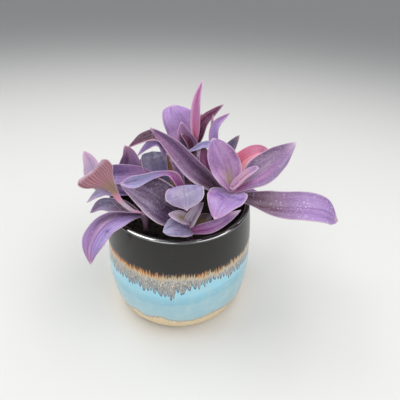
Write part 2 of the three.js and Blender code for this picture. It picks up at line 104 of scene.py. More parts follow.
# Glaze lines round the pot, as angles from the front, plus to its right, and heights above the floor
FRINGE_HEIGHT = 73
FRINGE_TEETH = 3.6
DRIP_LINE = [
    (-180, 53), (-150, 50), (-120, 53), (-90, 50), (-60, 50.5), (-45, 51), (-37, 51.5), (-30, 52),
    (-22, 49.5), (-15, 50), (-10, 48), (-7, 45.5), (-4, 48.5), (0, 52), (6, 54.5), (12, 56), (24, 57.5),
    (36, 56), (60, 54), (90, 52), (120, 54), (150, 51), (180, 53),
]
DRIP_COUNT = 126
DRIP_NOTCH = 5.5
DRIP_SCATTER = 5.2
WAVE_LINE = [
    (-180, 41), (-90, 39), (-42, 39), (-22, 39.5), (-6, 40.5), (9, 43), (26, 45.5), (90, 44), (180, 41),
]
FOOT_LINE = [
    (-180, 19), (-120, 17), (-57, 18), (-45, 15), (-35, 20), (-29, 16.5), (-22, 19), (-15, 21.5), (-7, 18.5),
    (1.5, 17), (10, 17.5), (18, 19), (27, 21), (39, 19), (80, 17), (130, 20), (180, 19),
]
TALLEST_LINE = 100

# Stems and leaves
STEM_RADIUS = 2.2
NODE_RADIUS = 3
STEM_TAPER = 0.8
STEM_SIDES = 20
STEM_STEP = 1.2
STEM_TONES = ("8A6A6E", "7A4A5E", "9A6A7C", "B07A92")
ROOT_DEPTH = 10
NODE_REACH = 3
SHEATH_LENGTH = 9
SHEATH_ROWS = 3
SHEATH_FIT = 0.98
SHEATH_SWELL = 0.16
SHEATH_FLARE = 0.3
SHEATH_TONES = ("8A5A6C", "A87A92", "D0A8BC")
BLADE_ROWS = 46
BLADE_COLUMNS = 22
BLADE_THICKNESS = 0.9
MARGIN_THICKNESS = 0.35
TIP_HALF_WIDTH = 0.35
TIP_BLUNTNESS = 1.5
TROUGH_ROUNDING = 0.18
WAVE_HEIGHT = 0.05
WAVES = 1.5
WAVE_SHIFT = 1.3
NOTCH_START = 0.6
CURVE_STEPS = 60
HAIR_SPACING = 1.5
HAIR_LENGTH = 1.3
HAIR_RADIUS = 0.05
HAIR_SINK = 0.1
HAIR_START = 0.5
HAIR_END = 0.9
HAIR_LEAN = 0.5
HAIR_STRAY = 0.3
HAIR_LENGTHS = (0.6, 1.0)
HAIR_GAPS = (0.5, 1.0)
HAIR_SPREAD = 1.4
HAIR_TIP_SHARE = 0.35
HAIR_TONE = "E6D2E0"
HAIR_SEED = 7
FINE_STREAKS = 16
BROAD_STREAKS = 3
VEIN_TURNS = 19
LEAF_STEP = 7.3

# The plant's materials, by their place in the list
BLADE, STALK, HAIR = range(3)

# Leaf outlines: pairs of place along the midrib and share of the greatest half width
OUTLINES = {
    "lance": [(0, 0.3), (0.12, 0.52), (0.38, 1), (0.65, 0.82), (0.86, 0.42), (1, 0.03)],
    "scoop": [(0, 0.25), (0.12, 0.48), (0.38, 0.95), (0.65, 1), (0.86, 0.5), (1, 0.03)],
    "oval": [(0, 0.32), (0.15, 0.72), (0.4, 1), (0.65, 0.9), (0.86, 0.56), (1, 0.04)],
    "strap": [(0, 0.3), (0.15, 0.5), (0.4, 0.92), (0.65, 1), (0.84, 0.88), (0.94, 0.48), (1, 0.02)],
    "heart": [(0, 0.46), (0.1, 0.75), (0.28, 1), (0.55, 0.9), (0.8, 0.53), (1, 0.03)],
    "round": [(0, 0.32), (0.15, 0.72), (0.4, 1), (0.65, 0.97), (0.85, 0.74), (0.95, 0.42), (1, 0.1)],
    "fan": [
        (0, 0.55), (0.15, 0.86), (0.38, 1), (0.6, 0.93), (0.78, 0.67), (0.9, 0.29), (0.96, 0.08), (1, 0.03),
    ],
    "paddle": [(0, 0.28), (0.2, 0.42), (0.45, 0.84), (0.7, 0.95), (0.88, 0.7), (1, 0.05)],
    "young": [(0, 0.75), (0.3, 1), (0.7, 0.95), (0.9, 0.7), (1, 0.2)],
    "sleeve": [
        (0, 0.5), (0.15, 0.95), (0.28, 0.95), (0.42, 0.43), (0.65, 0.65), (0.82, 1), (0.93, 0.68), (1, 0.04),
    ],
    "flare": [(0, 0.12), (0.35, 0.15), (0.55, 0.23), (0.72, 0.47), (0.86, 0.93), (0.95, 1), (1, 0.78)],
}

# The ways that upper faces look, as directions
TO_FRONT = (0, -0.9, 0.45)
TO_FRONT_UP = (0, -0.6, 0.8)
TO_SKY = (0, 0, 1)
TO_SKY_BACK = (0, 0.3, 1)

# Leaf colours by name
TONES = {
    "lavender": "B99BD7", "lilac": "A582BE", "heather": "9C7FBA", "periwinkle": "9B96C8", "frost": "BEBEDE",
    "pearl": "C8B4CD", "orchid": "AF7DB4", "mallow": "8C6496", "grape": "7D5F91", "violet": "54288A",
    "mauve": "82627D", "slate": "5A5A74", "steel": "7E7896", "silver": "9289A9", "plum": "5F4864",
    "aubergine": "50324B", "wine": "7D325A", "maroon": "5C3040", "rose": "C3699B", "mist": "B4AAB4",
    "snow": "FFE8F6", "petal": "EEC4E4", "haze": "968FB4", "magenta": "A8559C", "pink": "DE82B4",
    "salmon": "D7828C", "peach": "EBA0A0", "candy": "FFA4C6", "cerise": "FFB2E2", "flame": "FF7E9C",
    "blush": "E1AFC8", "clay": "BE848F", "tan": "AF8C78", "rust": "965F32", "umber": "5C4440",
    "olive": "78643C", "moss": "96823C", "straw": "BEAA82", "cream": "E6D2B9",
}

# How strong a leaf's streaks, dust, bloom and veins are, and its tip's notch, where its call doesn't say
PLAIN_LOOKS = {"streaks": 0.6, "dust": 0, "bloom": 1, "veins": 0, "notch": 0}


def leaf(outline, width, midrib, faces, folds, tones, under="aubergine mauve", marks=(), **looks):
    """One leaf. Its midrib, the way or ways its upper side faces, its folds in degrees and its tones run
    from base to tip, and under is the lower side's tones. Marks are soft stains, painted shade and painted
    highlights on the upper side: place along, place across, length, width, tone and strength. The notch is
    how far back the tip's middle lies."""
    return SimpleNamespace(
        outline=outline, width=width, midrib=midrib, faces=faces, folds=folds,
        tones=tones.split(), under=under.split(), marks=marks, **{**PLAIN_LOOKS, **looks},
    )


def level_leaf(width, midrib, tones="plum mallow lilac", face=TO_SKY, folds=(50, 15)):
    """A guessed leaf that spreads level at the sides or the back."""
    return leaf("lance", width, midrib, face, folds, tones)


# The stems by name, as the calls below fill it
STEMS = {}


def stem(name, route, *leaves):
    """One stem. Its route starts just above the soil, over its root."""
    STEMS[name] = SimpleNamespace(route=route, leaves=leaves)


stem(
    "front_right", [(30, -20, 92), (32, -23, 102), (36, -28, 115), (39, -32, 126), (39, -33, 133)],
    leaf("oval", 23.5, [(39, -32, 128), (34.5, -27, 143), (30, -23, 152), (23.7, -16, 163)],
         (-0.1, -0.9, 0.42), (62, 15, 8), "orchid orchid orchid orchid orchid lilac", "wine mallow",
         [(0.16, 0, 0.24, 0.45, "straw", 0.9), (0.7, -0.4, 0.3, 0.5, "lavender", 0.35)], streaks=0.3),
    leaf("young", 8, [(39, -33, 131), (46, -37, 143), (54, -40, 152)], (0, -0.5, 0.9), (35, 30),
         "petal blush blush lavender", "salmon blush petal", streaks=0.3),
    leaf("lance", 24, [(39, -32, 127), (54, -28, 137), (72, -18, 147), (89, -8, 157)], (-0.2, -0.8, 0.6),
         (55, 15, 10), "rose mallow mallow mallow mallow pearl", "wine mallow",
         [(0.05, 0.1, 0.16, 0.8, "magenta", 0.8), (0.15, -0.3, 0.1, 0.3, "straw", 0.8),
          (0.5, -0.7, 0.4, 0.35, "plum", 0.8), (0.5, -0.05, 0.3, 0.2, "mist", 0.45),
          (0.55, 0.8, 0.5, 0.25, "steel", 0.6), (0.35, 0.4, 0.2, 0.3, "magenta", 0.4)],
         streaks=0.3),
    # Its small violet marks are painted shade along two creases across the blade
    leaf("heart", 29, [(38, -32, 126), (34.5, -41, 127.5), (29, -52, 129), (23.5, -61, 123.5)],
         (-0.1, -0.3, 0.9), (20, 10), "heather heather heather lilac orchid", "mallow",
         [(0.47, 0.7, 0.05, 0.2, "violet", 0.8), (0.34, 0.42, 0.05, 0.2, "violet", 0.9),
          (0.2, 0, 0.04, 0.15, "violet", 0.9), (0.27, -0.3, 0.05, 0.2, "violet", 1),
          (0.36, -0.65, 0.06, 0.22, "violet", 1), (0.12, 0, 0.1, 0.9, "frost", 0.3),
          (0.5, 0.8, 0.4, 0.2, "orchid", 0.5)],
         streaks=0.15),
    # Its dark aubergine base tones and maroon marks are painted shade under the leaf that overhangs its base,
    # and its mauve mark along one margin is a painted shadow line
    leaf("strap", 30,
         [(36, -28, 114), (47, -28, 116), (70, -30, 112), (96, -31, 111), (115, -31, 108), (128, -31, 99)],
         (0, -0.35, 0.93), (55, 20, 5), "aubergine aubergine mauve mallow lilac lilac lilac", "aubergine",
         [(0.12, 0.2, 0.2, 0.8, "maroon", 0.8), (0.5, 0.8, 0.3, 0.25, "lavender", 0.5),
          (0.3, 0.1, 0.14, 0.8, "maroon", 0.8), (0.35, 0.9, 0.25, 0.4, "mauve", 0.6),
          (1, 0, 0.03, 1, "tan", 0.9), (0.6, -0.9, 0.4, 0.12, "plum", 0.4)],
         streaks=0.15, dust=1.0),
    # Its aubergine mark is painted shade on the half of the blade that turns away from the light
    leaf("lance", 19,
         [(37, -29, 119), (32, -26, 123.5), (11, -20, 139), (-6, -12.5, 155.5), (-21.5, -10, 168)],
         (-0.2, -0.82, 0.5), (55, 34, 20), "plum mauve mallow mallow mallow", "aubergine",
         [(0.25, 0.45, 0.4, 0.55, "aubergine", 0.85), (0.1, -0.3, 0.15, 0.8, "umber", 0.6),
          (0.3, -0.92, 0.5, 0.14, "pearl", 0.7), (0.85, -0.6, 0.25, 0.4, "rose", 0.35)],
         streaks=0.8, bloom=0.7),
    level_leaf(18, [(32, -23, 103), (52, -10, 110), (76, -2, 103)]),
)
stem(
    "top", [(6, 6, 92), (8, 9, 112), (11, 11, 132), (12, 12, 143)],
    leaf("lance", 13.5, [(12, 12, 140), (11, 12, 166), (12, 13, 182), (17, 16, 196)], (0.2, -1, 0.2),
         (65, 45), "peach candy cerise cerise cerise", "candy cerise",
         [(0.4, -0.9, 0.5, 0.3, "petal", 0.8), (0.75, 0.6, 0.3, 0.5, "orchid", 0.6)], streaks=0.2),
    leaf("round", 28, [(11, 12, 137), (3, 19, 155), (-3, 25, 166), (-6, 34, 171)], [TO_FRONT, (0, -0.4, 0.9)],
         (45, 10, 0), "orchid orchid lilac lilac", "mallow", streaks=0.25),
    leaf("lance", 18, [(11, 11, 136), (4, 7, 154), (1, 8, 166)], TO_FRONT, (40, 25),
         "pearl orchid orchid orchid", "mallow",
         [(0.5, -0.95, 0.5, 0.2, "pink", 0.8), (0.4, 0, 0.4, 0.5, "mist", 0.5)], streaks=0.3),
    leaf("lance", 14, [(11, 12, 138), (18, 15, 160), (26, 19, 168), (35, 22, 176)], TO_FRONT_UP, (50, 40),
         "mauve wine wine wine", "aubergine",
         [(0.5, 0.7, 0.5, 0.4, "aubergine", 0.8), (0.6, -0.9, 0.4, 0.2, "rose", 0.5)]),
    leaf("lance", 9, [(12, 12, 139), (15, 21, 156), (18, 25, 167)], TO_FRONT_UP, (50, 30), "plum aubergine",
         "aubergine"),
    leaf("lance", 13, [(11, 11, 131), (7, 5, 149), (1, 4, 158)], (0.3, -0.6, 0.8), (40, 20),
         "aubergine wine", "aubergine", bloom=0.4),
    level_leaf(20, [(8, 9, 111), (-6, 20, 123), (-24, 32, 121)], "plum mauve mallow", TO_SKY_BACK),
    level_leaf(20, [(9, 10, 118), (22, 20, 128), (42, 27, 124)], "plum mallow orchid"),
)
stem(
    "back_right", [(29, -2, 92), (29, -3, 108), (30, -1, 125), (30, 3, 141)],
    leaf("lance", 10, [(30, 3, 138), (27, 6, 154), (29, 9, 164), (39, 13, 172)], (-0.2, -0.9, 0.4),
         (50, 30), "lilac lavender lavender orchid", "mallow", [(0.5, -0.95, 0.5, 0.2, "rose", 0.7)],
         streaks=0.3),
    leaf("lance", 5, [(30, 3, 139), (26, 10, 162), (26, 12, 171)], (-0.2, -0.9, 0.4), (40, 30),
         "mauve blush", "blush"),
    leaf("lance", 13, [(30, 1, 133), (41, 7, 143), (48, 10, 155)], (-0.4, -0.6, 0.8), (35, 20),
         "slate steel steel", "mauve", [(0.95, 0, 0.12, 1, "tan", 0.8), (0.5, 0.8, 0.5, 0.3, "mauve", 0.6)]),
    leaf("oval", 18, [(30, -1, 122), (42, -4, 129), (52, -2, 139), (62, 0, 144), (74, 4, 143)],
         (-0.2, -0.8, 0.6), (45, 20), "flame flame flame candy candy", "flame",
         [(0.3, 0.1, 0.12, 0.3, "cream", 0.5), (0.5, 0.6, 0.2, 0.3, "cream", 0.35),
          (0.85, -0.2, 0.06, 0.4, "wine", 0.5), (0.6, 0.1, 0.3, 0.12, "peach", 0.6)],
         streaks=0.3, bloom=0.4),
    leaf("lance", 7, [(30, 2, 138), (26, -3, 151), (18, -4, 152), (12, -4, 149), (5, -4, 146)], TO_FRONT_UP,
         (30, 15), "grape periwinkle periwinkle", "mallow"),
    leaf("oval", 14, [(29, -2, 116), (25, -8, 129), (21, -8, 138), (18, -2, 151)], TO_FRONT, (50, 20),
         "magenta magenta wine", "wine", [(0.4, 1, 0.4, 0.2, "rose", 0.6)], bloom=0.6),
    level_leaf(18, [(29, -2, 106), (46, 8, 116), (70, 14, 111)]),
)
stem(
    "front", [(8, -42, 92), (7, -43, 104), (5, -40, 118), (3, -34, 133)],
    leaf("fan", 28.5, [(3, -34, 133.8), (3, -41, 133), (4, -47, 131.5), (5, -52.5, 124.5)],
         (-0.1, -0.75, 0.5), (-5, 12), "haze silver silver silver pearl", "mauve",
         [(0.2, -0.75, 0.25, 0.3, "periwinkle", 0.6), (0.15, 0.75, 0.2, 0.2, "lilac", 0.7),
          (0.75, 0.5, 0.2, 0.3, "mallow", 0.3), (0.35, 0.15, 0.3, 0.3, "mist", 0.3)],
         streaks=0.15, bloom=0.5),
    leaf("lance", 13, [(7, -43, 103), (10, -45, 114), (17, -41, 124)], (-0.3, -0.8, 0.6), (55, 35),
         "blush pearl mist pearl mauve", "mauve",
         [(0.5, 0.9, 0.6, 0.2, "snow", 0.7), (0.6, 0.3, 0.3, 0.2, "mauve", 0.6)], streaks=0.3),
    leaf("oval", 10, [(7, -43, 108), (-1, -49, 117), (-8, -50, 120)], TO_FRONT_UP, (30, 10),
         "pearl pearl pearl pearl", "mauve", [(0.45, 0, 0.28, 0.55, "moss", 1)], streaks=0.3),
    leaf("oval", 17, [(8, -43, 101), (3, -49, 107), (-3, -52, 109.5), (-12, -54, 107)], TO_FRONT_UP,
         (35, 5), "pearl haze haze frost", "mauve",
         [(0.4, 0.2, 0.2, 0.3, "grape", 0.5), (0.6, -0.2, 0.2, 0.2, "grape", 0.4)], streaks=0.9),
    leaf("lance", 14, [(8, -42, 98), (17, -42, 107), (24, -38, 111)], TO_FRONT_UP, (40, 20),
         "straw straw moss umber plum", "plum", bloom=0.4),
    leaf("lance", 11, [(8, -43, 97), (13, -48, 103), (24, -50, 108), (35, -45, 112), (46, -37, 114)],
         TO_FRONT_UP, (45, 30), "pink magenta orchid orchid snow", "mallow",
         [(0.8, 0.8, 0.2, 0.4, "lavender", 0.5), (0.5, -0.7, 0.2, 0.3, "grape", 0.7)], streaks=0.3),
)
stem(
    "centre", [(2, -24, 92), (2, -25, 108), (1, -24, 124)],
    leaf("sleeve", 10.5,
         [(1, -24, 120), (-3.5, -26, 134), (-6, -26, 138), (-10.5, -27, 140), (-18.5, -32, 141),
          (-31, -33, 136.5), (-42, -33, 134.5)],
         [(0.78, -0.5, 0.3), (0.1, -0.7, 0.5), TO_FRONT], (48, 30),
         "pink magenta magenta lilac periwinkle periwinkle lavender", "magenta magenta mauve",
         [(0.3, 1, 0.12, 0.4, "blush", 0.6), (0.82, 0.25, 0.035, 0.14, "aubergine", 1),
          (0.7, 0.3, 0.2, 0.4, "frost", 0.4), (0.92, 0, 0.05, 0.4, "violet", 0.5)],
         streaks=0.3),
    leaf("lance", 33, [(2, -25, 100), (-9, -34, 114), (-24, -30, 125), (-44, -26, 131)], (0.1, -0.75, 0.65),
         (45, 25, 10), "plum plum plum plum mallow", "aubergine",
         [(0.8, 0.3, 0.2, 0.5, "grape", 0.6), (0.4, 0.6, 0.4, 0.4, "plum", 0.8),
          (0.55, -0.95, 0.5, 0.12, "pearl", 0.7), (0.4, -0.5, 0.4, 0.3, "grape", 0.5),
          (0.85, -0.2, 0.1, 0.4, "pearl", 0.4)],
         streaks=0.8, dust=0.35),
    leaf("lance", 8, [(1, -24, 118), (-1, -14, 134), (-6, -12, 143)], TO_FRONT, (30, 20), "wine lilac",
         "mallow"),
    leaf("lance", 6, [(1, -24, 116), (-6, -11, 131), (-10, -8, 147)], TO_FRONT, (30, 20), "olive rust rust",
         "rust"),
)
stem(
    "left", [(-27, -29, 92), (-27, -30, 100), (-28, -31, 108)],
    # The snow tones in the middle of its stalk's lower side are a painted highlight
    leaf("flare", 32,
         [(-28, -31, 105), (-38, -31, 109), (-45.5, -28, 117), (-50, -26, 125), (-58, -24, 135),
          (-64, -23, 142)],
         [(0.15, 0.9, 0.35), (-0.2, 1, 0.05)], (80, 45, -7, -20), "rose mallow orchid lilac",
         "candy cerise snow snow candy tan tan clay clay clay", streaks=0.1, bloom=0.2, veins=1.0, notch=2.0),
    leaf("lance", 15, [(-28, -31, 103), (-41, -24, 105), (-54, -20, 106), (-63, -18, 105), (-73, -16, 97)],
         TO_FRONT_UP, (50, 20), "plum mauve steel mallow", "plum"),
    # Its aubergine marks are painted shade on the far half of the fold, and its petal marks are painted
    # highlights near the bend
    leaf("scoop", 18,
         [(-28, -31, 106), (-39, -35, 107), (-52, -41, 106), (-60, -46, 99.5), (-65, -52, 90),
          (-67.5, -54, 76.5)],
         [(0, -0.9, 0.5), (-0.25, -1, 0.35)], (65, 20, 15),
         "mauve lavender lavender lavender lavender orchid", "aubergine",
         [(0.2, 0.65, 0.28, 0.55, "aubergine", 1), (0.42, 0.5, 0.15, 0.3, "aubergine", 0.7),
          (0.6, -0.6, 0.4, 0.3, "periwinkle", 0.6), (0.95, 0, 0.1, 1, "pink", 0.4),
          (0.55, 0.5, 0.2, 0.4, "mallow", 0.2), (0.8, 0.5, 0.25, 0.4, "orchid", 0.7),
          (0.55, 0.02, 0.4, 0.05, "violet", 0.5), (0.85, 0.25, 0.15, 0.07, "petal", 0.9),
          (0.5, 0.2, 0.12, 0.1, "petal", 0.9), (0.5, -0.5, 0.04, 0.12, "violet", 0.9),
          (0.7, -0.3, 0.25, 0.05, "violet", 0.5)],
         streaks=0.35, dust=0.2, bloom=0.5),
    leaf("lance", 9, [(-28, -31, 104), (-38, -24, 104), (-56, -16, 111)], TO_FRONT_UP, (40, 20),
         "aubergine", "aubergine"),
)
stem(
    "left_back", [(-38, 2, 92), (-38, 2, 102), (-38, 3, 110)],
    leaf("lance", 26, [(-38, 3, 107), (-40, 8, 126), (-41, 8, 138), (-44, 8, 146)], TO_FRONT, (50, 25),
         "mallow mallow lilac orchid blush", "mallow",
         [(0.6, -0.5, 0.3, 0.3, "plum", 0.5), (0.8, 0.06, 0.2, 0.1, "petal", 1),
          (0.5, 0.3, 0.3, 0.25, "lilac", 0.6), (0.5, 0.75, 0.3, 0.3, "mallow", 0.5)],
         streaks=0.4),
    leaf("oval", 20, [(-38, 2, 103), (-55.5, 3, 106.5), (-68, 2, 118), (-72, 6, 130), (-77, 8, 141)],
         (0, -0.85, 0.6), (80, 15), "lavender lavender mist pearl petal", "lavender lavender pearl",
         [(0.7, 0.9, 0.4, 0.25, "petal", 0.8), (0.45, -0.3, 0.3, 0.6, "lavender", 0.5)], streaks=0.15),
    leaf("lance", 11, [(-38, 2, 101), (-48, 5, 105), (-60, 6, 105), (-72, 8, 99), (-82, 8, 91)],
         TO_FRONT_UP, (40, 15), "haze haze haze pearl", "mauve", streaks=0.2),
    level_leaf(16, [(-38, 3, 106), (-52, 16, 111), (-73, 24, 103)]),
)
stem(
    "back_left", [(-14, 4, 92), (-14, 4, 112), (-11, 6, 132), (-10, 8, 146)],
    leaf("lance", 12, [(-10, 8, 143), (-18, 1, 156), (-27, 0, 155), (-40, 0, 148)], TO_FRONT_UP, (40, 30),
         "maroon maroon maroon wine", "maroon", [(0.5, -0.95, 0.5, 0.2, "blush", 0.7)]),
    leaf("lance", 9, [(-11, 6, 136), (-17, -2, 152), (-25, -2, 149), (-33, -2, 142)], TO_FRONT_UP, (40, 30),
         "lilac lavender lavender", "lilac", streaks=0.2),
    # Its tones darken to slate towards the tip as painted shade over the top of the leaf
    leaf("oval", 25, [(-14, 4, 112), (-18, 0, 129), (-21, 3, 137), (-23, 14, 138)],
         [TO_FRONT, (0, -0.5, 0.9)], (40, 5), "haze haze periwinkle steel slate slate", "plum", streaks=0.3),
    leaf("paddle", 18.5,
         [(-14, 4, 118), (-20, -4, 122), (-29.5, -6.5, 127), (-45, -9, 128), (-56.5, -11, 128),
          (-66, -10.5, 124.5)],
         (0, -0.75, 0.7), (43, 18), "orchid orchid heather heather", "plum",
         [(0.35, -0.5, 0.3, 0.4, "orchid", 0.5), (0.8, 0.4, 0.3, 0.5, "grape", 0.5)], streaks=0.35),
    level_leaf(16, [(-14, 4, 106), (-26, 16, 117), (-47, 23, 116)]),
)
stem(
    "rear", [(4, 36, 92), (4, 38, 105), (5, 40, 117)],
    level_leaf(19, [(5, 39, 112), (14, 58, 116), (28, 82, 97)], "plum mallow lilac", TO_SKY_BACK),
    level_leaf(18, [(4, 38, 109), (-6, 56, 117), (-14, 82, 98)], "plum grape lavender", TO_SKY_BACK),
    leaf("lance", 18, [(5, 40, 114), (1, 46, 137), (0, 56, 153)], TO_FRONT, (50, 15), "wine mallow lilac",
         "mallow"),
    leaf("young", 8, [(5, 40, 115), (9, 43, 126), (12, 47, 134)], TO_FRONT, (50, 45),
         "cream blush lavender", "rose lavender"),
)
stem(
    "rear_right", [(38, 26, 92), (41, 30, 105), (43, 33, 118)],
    level_leaf(22, [(43, 33, 115), (57, 52, 116), (78, 78, 96)], "plum mallow orchid", TO_SKY_BACK),
    level_leaf(18, [(43, 33, 116), (40, 46, 125), (40, 66, 114)], "wine mallow lilac", TO_SKY_BACK),
    level_leaf(18, [(42, 32, 110), (64, 40, 107), (90, 46, 98)], "plum mauve mallow"),
    leaf("young", 7, [(43, 33, 115), (47, 36, 125), (50, 40, 132)], TO_FRONT, (50, 45),
         "cream blush lavender", "rose lavender"),
)
stem(
    "rear_left", [(-30, 30, 92), (-33, 33, 100), (-35, 36, 107)],
    level_leaf(20, [(-34, 35, 103), (-44, 46, 106), (-64, 64, 88)],
               "plum mallow lilac", TO_SKY_BACK, (40, 10)),
    level_leaf(19, [(-35, 36, 105), (-30, 52, 108), (-36, 74, 93)],
               "plum grape lavender", TO_SKY_BACK, (40, 10)),
    level_leaf(18, [(-34, 34, 102), (-50, 38, 106), (-72, 42, 94)], "plum mauve mallow", TO_SKY, (35, 10)),
    leaf("lance", 12, [(-35, 36, 104), (-34, 39, 113), (-31, 44, 120)], TO_FRONT, (50, 25),
         "wine orchid lilac", "mallow"),
)


# Camera, light and floor


def add_object(name, data):
    made = bpy.data.objects.new(name, data)
    bpy.context.scene.collection.objects.link(made)
    return made


def make_camera():
    data = bpy.data.cameras.new("camera")
    data.sensor_width = FILM_WIDTH
    data.lens = CAMERA_LENS
    data.clip_start = 0.01
    camera = add_object("camera", data)
    turns = ((-CAMERA_YAW, "Z"), (90 - CAMERA_PITCH, "X"), (CAMERA_ROLL, "Z"))
    stand = Matrix.Translation((0, -CAMERA_BACK * MM, CAMERA_HEIGHT * MM))
    for degrees, axis in turns:
        stand = stand @ Matrix.Rotation(math.radians(degrees), 4, axis)
    camera.matrix_world = stand
    bpy.context.scene.camera = camera


def make_light():
    world = bpy.data.worlds.new("studio")
    world.use_nodes = True
    background = world.node_tree.nodes["Background"]
    background.inputs["Color"].default_value = SKY_COLOUR
    background.inputs["Strength"].default_value = SKY_STRENGTH
    bpy.context.scene.world = world
    for name, place, size, power, colour in LIGHTS:
        data = bpy.data.lights.new(name, "AREA")
        data.shape = "RECTANGLE"
        data.size, data.size_y = size
        data.energy = power
        data.color = colour
        light = add_object(name, data)
        light.location = place
        light.rotation_mode = "QUATERNION"
        light.rotation_quaternion = (Vector(LIGHT_TARGET) - Vector(place)).to_track_quat("-Z", "Y")


def make_floor():
    mesh = bpy.data.meshes.new("floor")
    corners = [(x * FLOOR_REACH, y * FLOOR_REACH, 0) for x, y in ((-1, -1), (1, -1), (1, 1), (-1, 1))]
    mesh.from_pydata(corners, [], [(0, 1, 2, 3)])
    graph = Graph("floor")
    grain = graph.noise(graph.position(), 40, 4)
    graph.surface(graph.ramp(grain, [(0.3, "D8D8D6"), (0.7, "DEDEDC")]), 0.7)
    mesh.materials.append(graph.material)
    floor = add_object("floor", mesh)


# Material graphs


def linear(code):
    """A six-digit colour code as linear red, green and blue."""
    parts = [int(code[i : i + 2], 16) / 255 for i in (0, 2, 4)]
    return [p / 12.92 if p <= 0.04045 else ((p + 0.055) / 1.055) ** 2.4 for p in parts]


class Graph:
    """A material and short calls that add its nodes. An input is a number, a colour or a node's output."""

    def __init__(self, name):
        self.material = bpy.data.materials.new(name)
        self.material.use_nodes = True
        self.tree = self.material.node_tree
        self.shader = self.tree.nodes["Principled BSDF"]

    def put(self, socket, value):
        if isinstance(value, bpy.types.NodeSocket):
            self.tree.links.new(value, socket)
        elif isinstance(value, str):
            socket.default_value = (*linear(value), 1)
        else:
            socket.default_value = value

    def node(self, kind, output=0, inputs=(), **settings):
        made = self.tree.nodes.new("ShaderNode" + kind)
        for name, value in settings.items():
            setattr(made, name, value)
        for name, value in dict(inputs).items():
            self.put(made.inputs[name], value)
        return made.outputs[output]

    def position(self):
        """The place on the object in millimetres."""
        place = self.node("TexCoord", "Object")
        return self.node("VectorMath", inputs={0: place, "Scale": 1 / MM}, operation="SCALE")

    def attribute(self, name, output="Vector"):
        return self.node("Attribute", output, attribute_name=name)

    def parts(self, vector):
        return self.node("SeparateXYZ", inputs={0: vector}).node.outputs

    def vector(self, x, y, z):
        return self.node("CombineXYZ", inputs={0: x, 1: y, 2: z})

    def stretch(self, vector, x, y, z):
        return self.node("VectorMath", inputs={0: vector, 1: (x, y, z)}, operation="MULTIPLY")

    def math(self, operation, first, second=0.0):
        return self.node("Math", inputs={0: first, 1: second}, operation=operation)

    def scaled(self, value, by, plus=0.0):
        return self.node("Math", inputs={0: value, 1: by, 2: plus}, operation="MULTIPLY_ADD")

    def total(self, *values):
        return reduce(lambda first, second: self.math("ADD", first, second), values)

    def blend(self, share, first, second):
        """A number from first to second as the share goes from 0 to 1."""
        return self.node("Mix", inputs={"Factor": share, 2: first, 3: second}, data_type="FLOAT")

    def noise(self, vector, scale, detail=2.0, roughness=0.5):
        inputs = {"Vector": vector, "Scale": scale, "Detail": detail, "Roughness": roughness}
        return self.node("TexNoise", inputs=inputs)

    def specks(self, vector, scale):
        return self.node("TexVoronoi", "Distance", {"Vector": vector, "Scale": scale})

    def ease(self, value, start, end, low=0.0, high=1.0):
        inputs = {0: value, 1: start, 2: end, 3: low, 4: high}
        return self.node("MapRange", inputs=inputs, interpolation_type="SMOOTHSTEP")

    def ramp(self, value, stops):
        colour = self.node("ValToRGB", inputs={0: value})
        points = colour.node.color_ramp.elements
        while len(points) < len(stops):
            points.new(1.0)
        for point, (place, code) in zip(points, stops):
            point.position = place
            point.color = (*linear(code), 1)
        return colour

    def curve(self, value, points):
        """A value that follows a line of points, both axes from 0 to 1."""
        height = self.node("FloatCurve", inputs={"Value": value})
        line = height.node.mapping.curves[0].points
        for point in points[1:-1]:
            line.new(*point)
        line[0].location = points[0]
        line[-1].location = points[-1]
        height.node.mapping.update()
        return height

    def mix(self, share, first, second, blend="MIX"):
        inputs = {"Factor": share, 6: first, 7: second}
        return self.node("Mix", 2, inputs, data_type="RGBA", blend_type=blend)

    def tint(self, colour, other, value, start, end, share=1.0):
        """The colour with another laid over it, up to a share of it, as a value goes from start to end."""
        return self.mix(self.ease(value, start, end, 0.0, share), colour, other)

    def bump(self, height, depth, strength=1.0):
        """A normal from a height from 0 to 1 that stands for depth in millimetres."""
        inputs = {"Height": height, "Distance": depth * MM, "Strength": strength}
        return self.node("Bump", inputs=inputs)

    def surface(self, colour, roughness, normal=None, specular=0.5):
        self.put(self.shader.inputs["Base Color"], colour)
        self.put(self.shader.inputs["Roughness"], roughness)
        if normal is not None:
            self.put(self.shader.inputs["Normal"], normal)
        self.shader.inputs["Specular IOR Level"].default_value = specular


# Meshes


